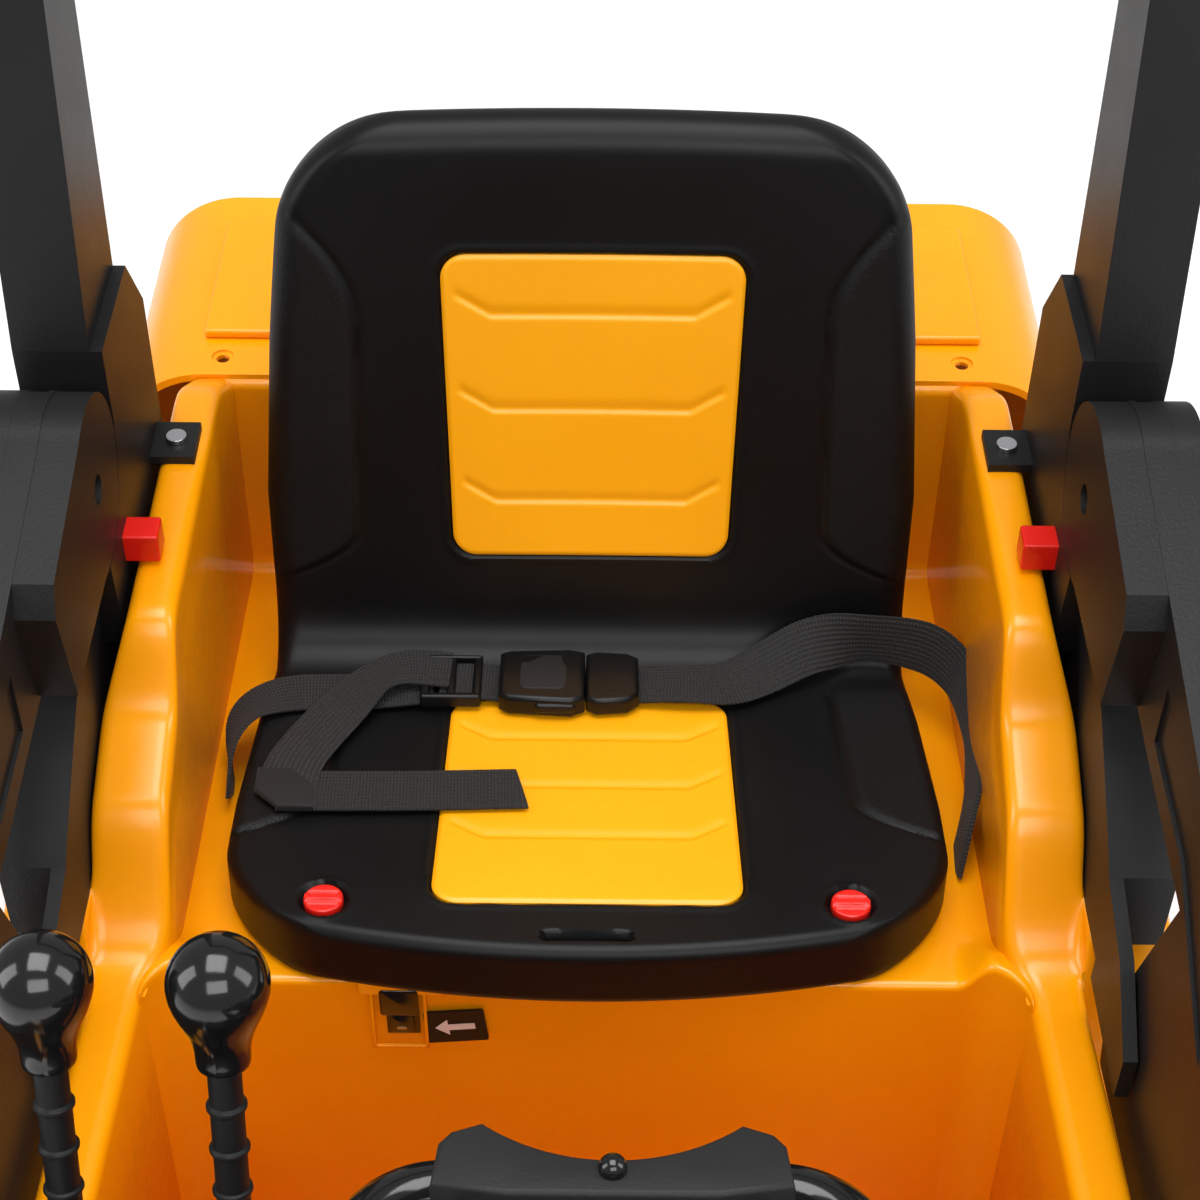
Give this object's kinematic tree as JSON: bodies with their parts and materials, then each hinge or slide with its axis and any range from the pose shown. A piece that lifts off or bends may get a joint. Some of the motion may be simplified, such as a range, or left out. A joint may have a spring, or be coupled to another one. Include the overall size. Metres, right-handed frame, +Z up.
{
  "type": "ride-on digger",
  "caption": "Child's battery ride-on digger: moulded seat with lap belt in a yellow tub, tall black cage, loader arms with a front bucket, steering wheel and two levers.",
  "frame": {"origin": "on the ground, in the middle of the overall length and width", "axes": "+Z up, -Y to the front of the digger, +X to the left of the driver"},
  "size_m": [0.59, 1.096, 0.83],
  "materials": {
    "yellow_plastic": "gloss",
    "grained_black": "fine grain",
    "seat_black": "satin grain",
    "gloss_black": "gloss",
    "red_plastic": "gloss",
    "tyre_black": "matte",
    "painted_frame": "satin",
    "zinc_steel": "satin",
    "screw_chrome": "bright",
    "webbing": "woven",
    "lamp_glass": "clear"
  },
  "bodies": {
    "chassis": {"tub": "yellow_plastic", "hood": "yellow_plastic", "dash": "grained_black", "grille": "grained_black", "headlamps": "lamp_glass", "rear_cover": "yellow_plastic", "rear_centre_cover": "yellow_plastic", "chassis_frame": "painted_frame", "battery": "grained_black", "control_box": "grained_black", "gear_motors": "grained_black", "rear_axle": "zinc_steel", "charge_socket": "gloss_black", "cage_inner_left": "grained_black", "cage_inner_right": "grained_black", "cage_outer_left": "grained_black", "cage_outer_right": "grained_black", "cross_beam": "grained_black", "ledge_screws": "screw_chrome", "pivot_pins": "zinc_steel"},
    "seat": {"seat_shell": "seat_black", "seat_panels": "yellow_plastic", "belt_left": "webbing", "belt_right": "webbing", "belt_adjuster": "gloss_black", "buckle_socket": "gloss_black", "buckle_tongue": "gloss_black"},
    "seat_lock_left": {"seat_knob_left": "red_plastic"},
    "seat_lock_right": {"seat_knob_right": "red_plastic"},
    "rear_wheel_left": {"rear_tyre_left": "tyre_black", "rear_rim_left": "yellow_plastic"},
    "rear_wheel_right": {"rear_tyre_right": "tyre_black", "rear_rim_right": "yellow_plastic"},
    "front_wheel_left": {"front_tyre_left": "tyre_black", "front_rim_left": "yellow_plastic"},
    "front_wheel_right": {"front_tyre_right": "tyre_black", "front_rim_right": "yellow_plastic"},
    "steer_left": {"knuckle_left": "zinc_steel"},
    "steer_right": {"knuckle_right": "zinc_steel"},
    "track_rod": {"tie_rod": "zinc_steel"},
    "steering": {"steering_shaft": "zinc_steel", "steering_wheel": "gloss_black", "steering_pad": "seat_black"},
    "horn": {"horn_button": "gloss_black"},
    "loader": {"arm_inner_left": "grained_black", "arm_inner_right": "grained_black", "arm_outer_left": "grained_black", "arm_outer_right": "grained_black", "arm_tube": "painted_frame", "bucket_pins": "zinc_steel"},
    "shovel": {"bucket": "yellow_plastic"},
    "release_left": {"arm_button_left": "red_plastic"},
    "release_right": {"arm_button_right": "red_plastic"},
    "lever_inner": {"lever_stem_inner": "seat_black", "lever_knob_inner": "gloss_black"},
    "lever_outer": {"lever_stem_outer": "seat_black", "lever_knob_outer": "gloss_black"},
    "accelerator": {"pedal": "grained_black"},
    "direction": {"gear_switch": "red_plastic"},
    "charge_cover": {"charge_flap": "gloss_black"}
  },
  "joints": [
    {"name": "rear_wheel_left_spin", "type": "hinge", "parent": "chassis", "child": "rear_wheel_left", "pos_m": [0.264, 0.428, 0.115], "axis": [1, 0, 0], "continuous": true},
    {"name": "rear_wheel_right_spin", "type": "hinge", "parent": "chassis", "child": "rear_wheel_right", "pos_m": [-0.264, 0.428, 0.115], "axis": [1, 0, 0], "continuous": true},
    {"name": "steering_turn", "type": "hinge", "parent": "chassis", "child": "steering", "pos_m": [0.008, -0.14, 0.47], "axis": [0, 0.1564, 0.9877], "range_deg": [-22.43, 22.43]},
    {"name": "knuckle_left_turn", "type": "hinge", "parent": "chassis", "child": "steer_left", "pos_m": [0.205, -0.19, 0.105], "axis": [0, 0, 1], "range_deg": [-23, 23]},
    {"name": "front_wheel_left_spin", "type": "hinge", "parent": "steer_left", "child": "front_wheel_left", "pos_m": [0.264, -0.19, 0.105], "axis": [1, 0, 0], "continuous": true},
    {"name": "knuckle_right_turn", "type": "hinge", "parent": "chassis", "child": "steer_right", "pos_m": [-0.205, -0.19, 0.105], "axis": [0, 0, 1], "range_deg": [-23, 23]},
    {"name": "front_wheel_right_spin", "type": "hinge", "parent": "steer_right", "child": "front_wheel_right", "pos_m": [-0.264, -0.19, 0.105], "axis": [1, 0, 0], "continuous": true},
    {"name": "track_rod_slide", "type": "slide", "parent": "chassis", "child": "track_rod", "axis": [1, 0, 0], "range_m": [-0.0145, 0.0145]},
    {"name": "horn_press", "type": "slide", "parent": "steering", "child": "horn", "axis": [0, -0.1564, -0.9877], "range_m": [0, 0.0025], "stiffness_N_per_m": 400, "springref_m": -0.002},
    {"name": "arm_lift", "type": "hinge", "parent": "chassis", "child": "loader", "pos_m": [0, 0.226, 0.474], "axis": [-1, 0, 0], "range_deg": [0, 35]},
    {"name": "bucket_tilt", "type": "hinge", "parent": "loader", "child": "shovel", "pos_m": [0, -0.348, 0.11], "axis": [1, 0, 0], "range_deg": [-12, 45]},
    {"name": "release_left_press", "type": "slide", "parent": "chassis", "child": "release_left", "axis": [1, 0, 0], "range_m": [0, 0.006], "stiffness_N_per_m": 300, "springref_m": -0.002},
    {"name": "release_right_press", "type": "slide", "parent": "chassis", "child": "release_right", "axis": [-1, 0, 0], "range_m": [0, 0.006], "stiffness_N_per_m": 300, "springref_m": -0.002},
    {"name": "seat_lift", "type": "slide", "parent": "chassis", "child": "seat", "axis": [0, 0, 1], "range_m": [0, 0.15]},
    {"name": "seat_lock_left_turn", "type": "hinge", "parent": "seat", "child": "seat_lock_left", "pos_m": [0.106, 0.143, 0.30026], "axis": [0, 0.1219, 0.9925], "range_deg": [0, 90]},
    {"name": "seat_lock_right_turn", "type": "hinge", "parent": "seat", "child": "seat_lock_right", "pos_m": [-0.106, 0.143, 0.30026], "axis": [0, 0.1219, 0.9925], "range_deg": [0, 90]},
    {"name": "lever_inner_tilt", "type": "hinge", "parent": "chassis", "child": "lever_inner", "pos_m": [-0.108, -0.092, 0.322], "axis": [1, 0, 0], "range_deg": [-8, 8], "stiffness_Nm_per_rad": 2},
    {"name": "lever_outer_tilt", "type": "hinge", "parent": "chassis", "child": "lever_outer", "pos_m": [-0.16, -0.092, 0.322], "axis": [1, 0, 0], "range_deg": [-8, 8], "stiffness_Nm_per_rad": 2},
    {"name": "pedal_press", "type": "hinge", "parent": "chassis", "child": "accelerator", "pos_m": [-0.09, -0.04, 0.105], "axis": [1, 0, 0], "range_deg": [0, 12], "stiffness_Nm_per_rad": 3, "springref_deg": -5.73},
    {"name": "direction_rock", "type": "hinge", "parent": "chassis", "child": "direction", "pos_m": [0.101, -0.12, 0.382], "axis": [1, 0, 0], "range_deg": [-10, 10]},
    {"name": "charge_flap_turn", "type": "hinge", "parent": "chassis", "child": "charge_cover", "pos_m": [-0.075, 0.12, 0.291], "axis": [-1, 0, 0], "range_deg": [0, 100]}
  ],
  "couplings": [
    {"joint": "knuckle_left_turn", "follows": "steering_turn", "ratio": 0.98103},
    {"joint": "knuckle_right_turn", "follows": "steering_turn", "ratio": 0.98103},
    {"joint": "track_rod_slide", "follows": "steering_turn", "m_per_rad": 0.035317}
  ]
}
